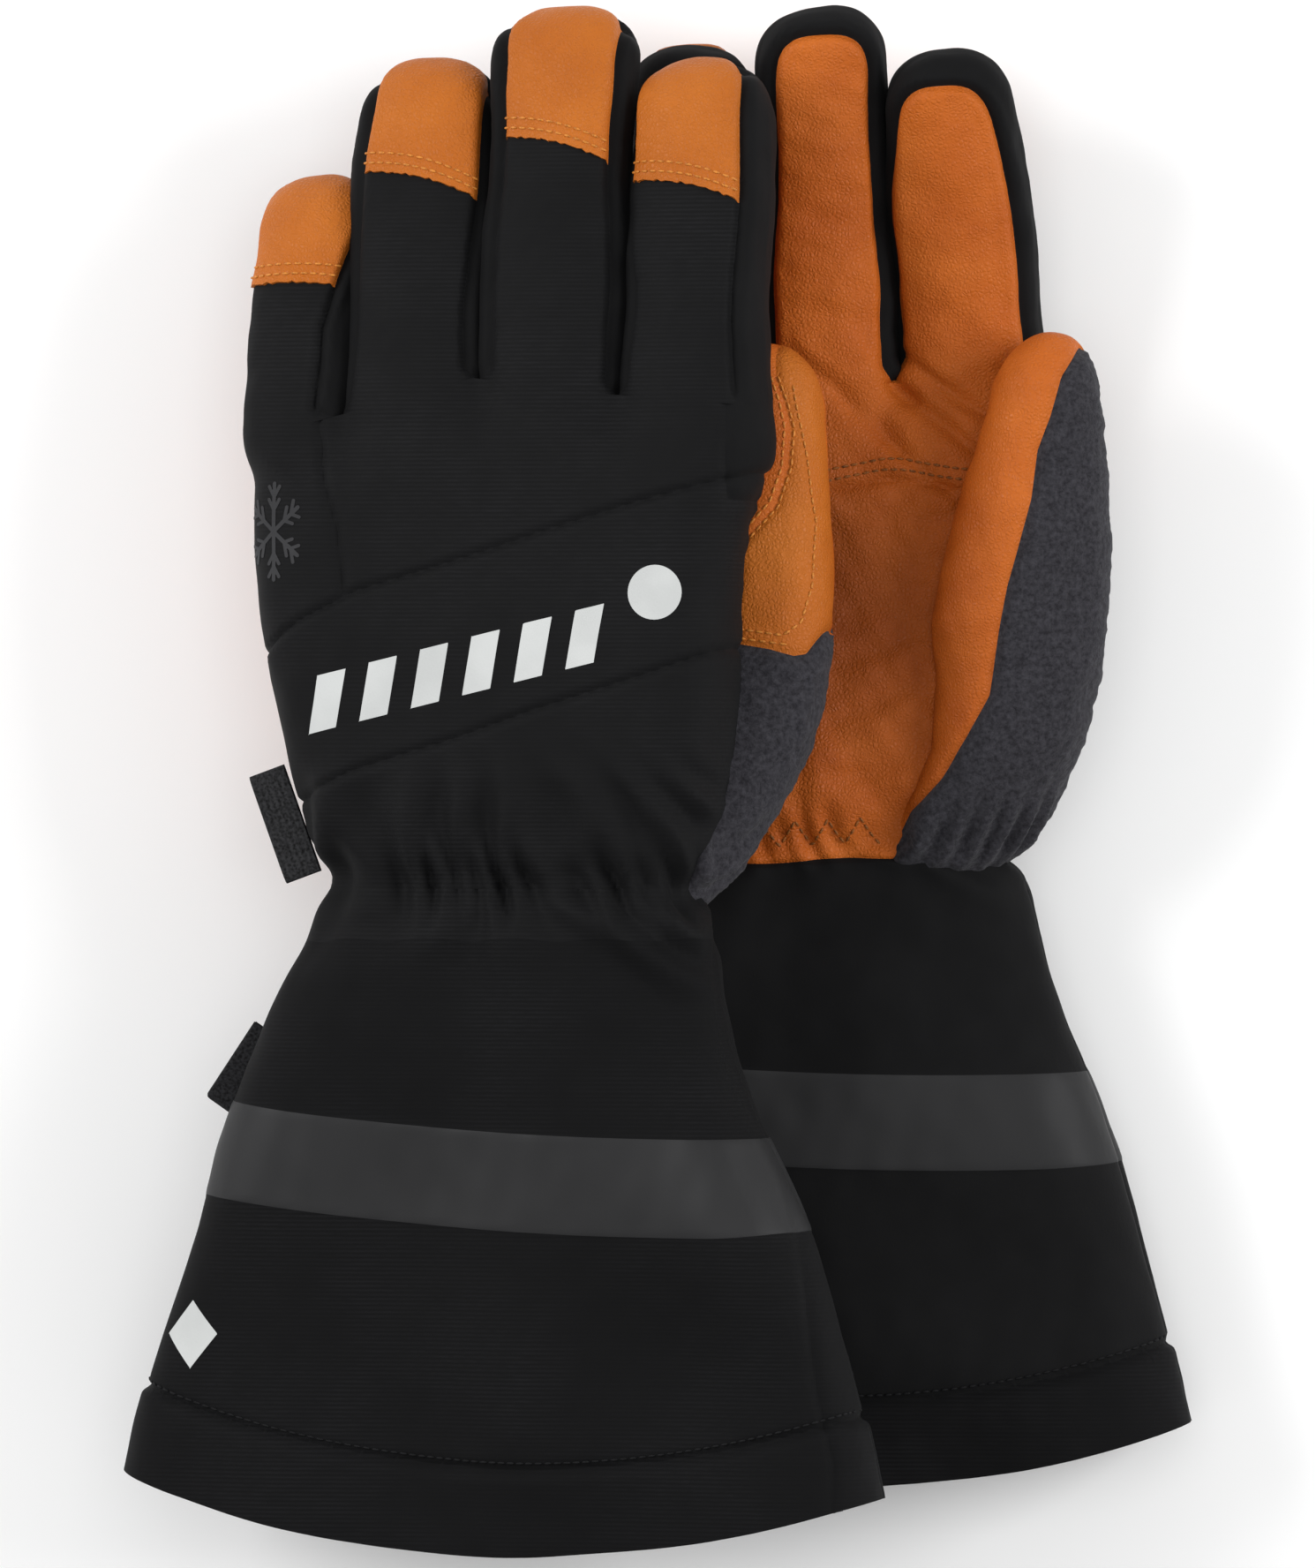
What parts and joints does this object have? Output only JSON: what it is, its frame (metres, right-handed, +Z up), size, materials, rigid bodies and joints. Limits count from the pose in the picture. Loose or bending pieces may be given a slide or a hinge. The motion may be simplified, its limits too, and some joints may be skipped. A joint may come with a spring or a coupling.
{
  "type": "cryogenic gloves",
  "caption": "Pair of insulated leather-palm gauntlet gloves with long flared cuffs, one lying palm up and the other lying over it.",
  "frame": {"origin": "middle of the pair's footprint, on the surface the gloves lie on", "axes": "+X towards the thumbs, +Y towards the fingertips, +Z up out of the surface"},
  "size_m": [0.259, 0.3794, 0.0956],
  "materials": {
    "orange_goatskin": "matte grain leather",
    "black_ribbed_fabric": "matte ribbed weave",
    "black_side_fabric": "matte plain weave",
    "grey_fleece": "brushed nap",
    "black_cuff_fabric": "matte ribbed weave",
    "grey_reflective_tape": "satin coated tape",
    "fleece_lining": "soft pile",
    "elastic_tape": "woven elastic",
    "black_webbing": "ribbed webbing"
  },
  "bodies": {
    "right_hand": {"right_palm_leather": "orange_goatskin", "right_back_panel": "black_ribbed_fabric", "right_knuckle_band": "black_ribbed_fabric", "right_lower_back_panel": "black_ribbed_fabric", "right_fleece_gusset": "grey_fleece", "right_lining": "fleece_lining", "right_wrist_elastic": "elastic_tape"},
    "right_index_finger": {"right_index_front_leather": "orange_goatskin", "right_index_back_fabric": "black_ribbed_fabric", "right_index_cap_leather": "orange_goatskin", "right_index_sidewall": "black_side_fabric"},
    "right_middle_finger": {"right_middle_front_leather": "orange_goatskin", "right_middle_back_fabric": "black_ribbed_fabric", "right_middle_cap_leather": "orange_goatskin", "right_middle_sidewall": "black_side_fabric"},
    "right_ring_finger": {"right_ring_front_leather": "orange_goatskin", "right_ring_back_fabric": "black_ribbed_fabric", "right_ring_cap_leather": "orange_goatskin", "right_ring_sidewall": "black_side_fabric"},
    "right_little_finger": {"right_little_front_leather": "orange_goatskin", "right_little_back_fabric": "black_ribbed_fabric", "right_little_cap_leather": "orange_goatskin", "right_little_sidewall": "black_side_fabric"},
    "right_thumb": {"right_thumb_front_leather": "orange_goatskin", "right_thumb_back_fleece": "grey_fleece"},
    "right_cuff": {"right_cuff_back": "black_cuff_fabric", "right_cuff_palm": "black_cuff_fabric", "right_reflective_band": "grey_reflective_tape", "right_cuff_hem": "black_cuff_fabric"},
    "left_hand": {"left_palm_leather": "orange_goatskin", "left_back_panel": "black_ribbed_fabric", "left_knuckle_band": "black_ribbed_fabric", "left_lower_back_panel": "black_ribbed_fabric", "left_fleece_gusset": "grey_fleece", "left_lining": "fleece_lining", "left_wrist_elastic": "elastic_tape", "left_label_tab": "black_webbing"},
    "left_index_finger": {"left_index_front_leather": "orange_goatskin", "left_index_back_fabric": "black_ribbed_fabric", "left_index_cap_leather": "orange_goatskin", "left_index_sidewall": "black_side_fabric"},
    "left_middle_finger": {"left_middle_front_leather": "orange_goatskin", "left_middle_back_fabric": "black_ribbed_fabric", "left_middle_cap_leather": "orange_goatskin", "left_middle_sidewall": "black_side_fabric"},
    "left_ring_finger": {"left_ring_front_leather": "orange_goatskin", "left_ring_back_fabric": "black_ribbed_fabric", "left_ring_cap_leather": "orange_goatskin", "left_ring_sidewall": "black_side_fabric"},
    "left_little_finger": {"left_little_front_leather": "orange_goatskin", "left_little_back_fabric": "black_ribbed_fabric", "left_little_cap_leather": "orange_goatskin", "left_little_sidewall": "black_side_fabric"},
    "left_thumb": {"left_thumb_front_leather": "orange_goatskin", "left_thumb_back_fleece": "grey_fleece"},
    "left_cuff": {"left_cuff_back": "black_cuff_fabric", "left_cuff_palm": "black_cuff_fabric", "left_reflective_band": "grey_reflective_tape", "left_cuff_hem": "black_cuff_fabric"},
    "left_hang_loop": {"left_hang_loop": "black_webbing"}
  },
  "joints": [
    {"name": "left_glove_lift", "type": "slide", "parent": "right_hand", "child": "left_hand", "axis": [0, 0, 1], "range_m": [0, 0.2]},
    {"name": "right_index_knuckle", "type": "hinge", "parent": "right_hand", "child": "right_index_finger", "pos_m": [0.07459, 0.10057, 0.018], "axis": [0.9986, 0.0523, 0], "range_deg": [0, 12], "stiffness_Nm_per_rad": 0.3},
    {"name": "right_middle_knuckle", "type": "hinge", "parent": "right_hand", "child": "right_middle_finger", "pos_m": [0.04083, 0.1008, 0.018], "axis": [0.9986, 0.0523, 0], "range_deg": [0, 20]},
    {"name": "right_ring_knuckle", "type": "hinge", "parent": "right_hand", "child": "right_ring_finger", "pos_m": [0.00748, 0.09705, 0.018], "axis": [0.9986, 0.0523, 0], "range_deg": [0, 20]},
    {"name": "right_little_knuckle", "type": "hinge", "parent": "right_hand", "child": "right_little_finger", "pos_m": [-0.02126, 0.08954, 0.018], "axis": [0.9986, 0.0523, 0], "range_deg": [0, 20]},
    {"name": "right_thumb_root", "type": "hinge", "parent": "right_hand", "child": "right_thumb", "pos_m": [0.0836, 0.01092, 0.038], "axis": [0, 0, -1], "range_deg": [0, 40], "stiffness_Nm_per_rad": 0.3},
    {"name": "right_wrist", "type": "hinge", "parent": "right_hand", "child": "right_cuff", "pos_m": [0.03539, -0.02465, 0.018], "axis": [0, 0, 1], "range_deg": [-2.5, 2.5]},
    {"name": "left_index_knuckle", "type": "hinge", "parent": "left_hand", "child": "left_index_finger", "pos_m": [0.00726, 0.09534, 0.07068], "axis": [0.9744, 0, 0.225], "range_deg": [0, 28], "stiffness_Nm_per_rad": 0.3},
    {"name": "left_middle_knuckle", "type": "hinge", "parent": "left_hand", "child": "left_middle_finger", "pos_m": [-0.02557, 0.09734, 0.0631], "axis": [0.9744, 0, 0.225], "range_deg": [0, 28], "stiffness_Nm_per_rad": 0.3},
    {"name": "left_ring_knuckle", "type": "hinge", "parent": "left_hand", "child": "left_ring_finger", "pos_m": [-0.05822, 0.09534, 0.05556], "axis": [0.9744, 0, 0.225], "range_deg": [-14, 24], "stiffness_Nm_per_rad": 0.3},
    {"name": "left_little_knuckle", "type": "hinge", "parent": "left_hand", "child": "left_little_finger", "pos_m": [-0.08657, 0.08934, 0.04902], "axis": [0.9744, 0, 0.225], "range_deg": [-20, 24], "stiffness_Nm_per_rad": 0.3},
    {"name": "left_thumb_root", "type": "hinge", "parent": "left_hand", "child": "left_thumb", "pos_m": [0.01595, 0.00534, 0.05216], "axis": [0.225, 0, -0.9744], "range_deg": [0, 12], "stiffness_Nm_per_rad": 0.3},
    {"name": "left_wrist", "type": "hinge", "parent": "left_hand", "child": "left_cuff", "pos_m": [-0.03727, -0.02766, 0.0604], "axis": [-0.9744, 0, -0.225], "range_deg": [0, 18]},
    {"name": "left_hang_loop_swing", "type": "hinge", "parent": "left_cuff", "child": "left_hang_loop", "pos_m": [-0.09671, -0.05729, 0.04668], "axis": [0.225, 0, -0.9744], "range_deg": [-10, 50]}
  ],
  "couplings": [
    {"joint": "right_middle_knuckle", "follows": "left_glove_lift", "rad_per_m": 1.7443},
    {"joint": "right_ring_knuckle", "follows": "left_glove_lift", "rad_per_m": 1.7443},
    {"joint": "right_little_knuckle", "follows": "left_glove_lift", "rad_per_m": 1.7443}
  ]
}
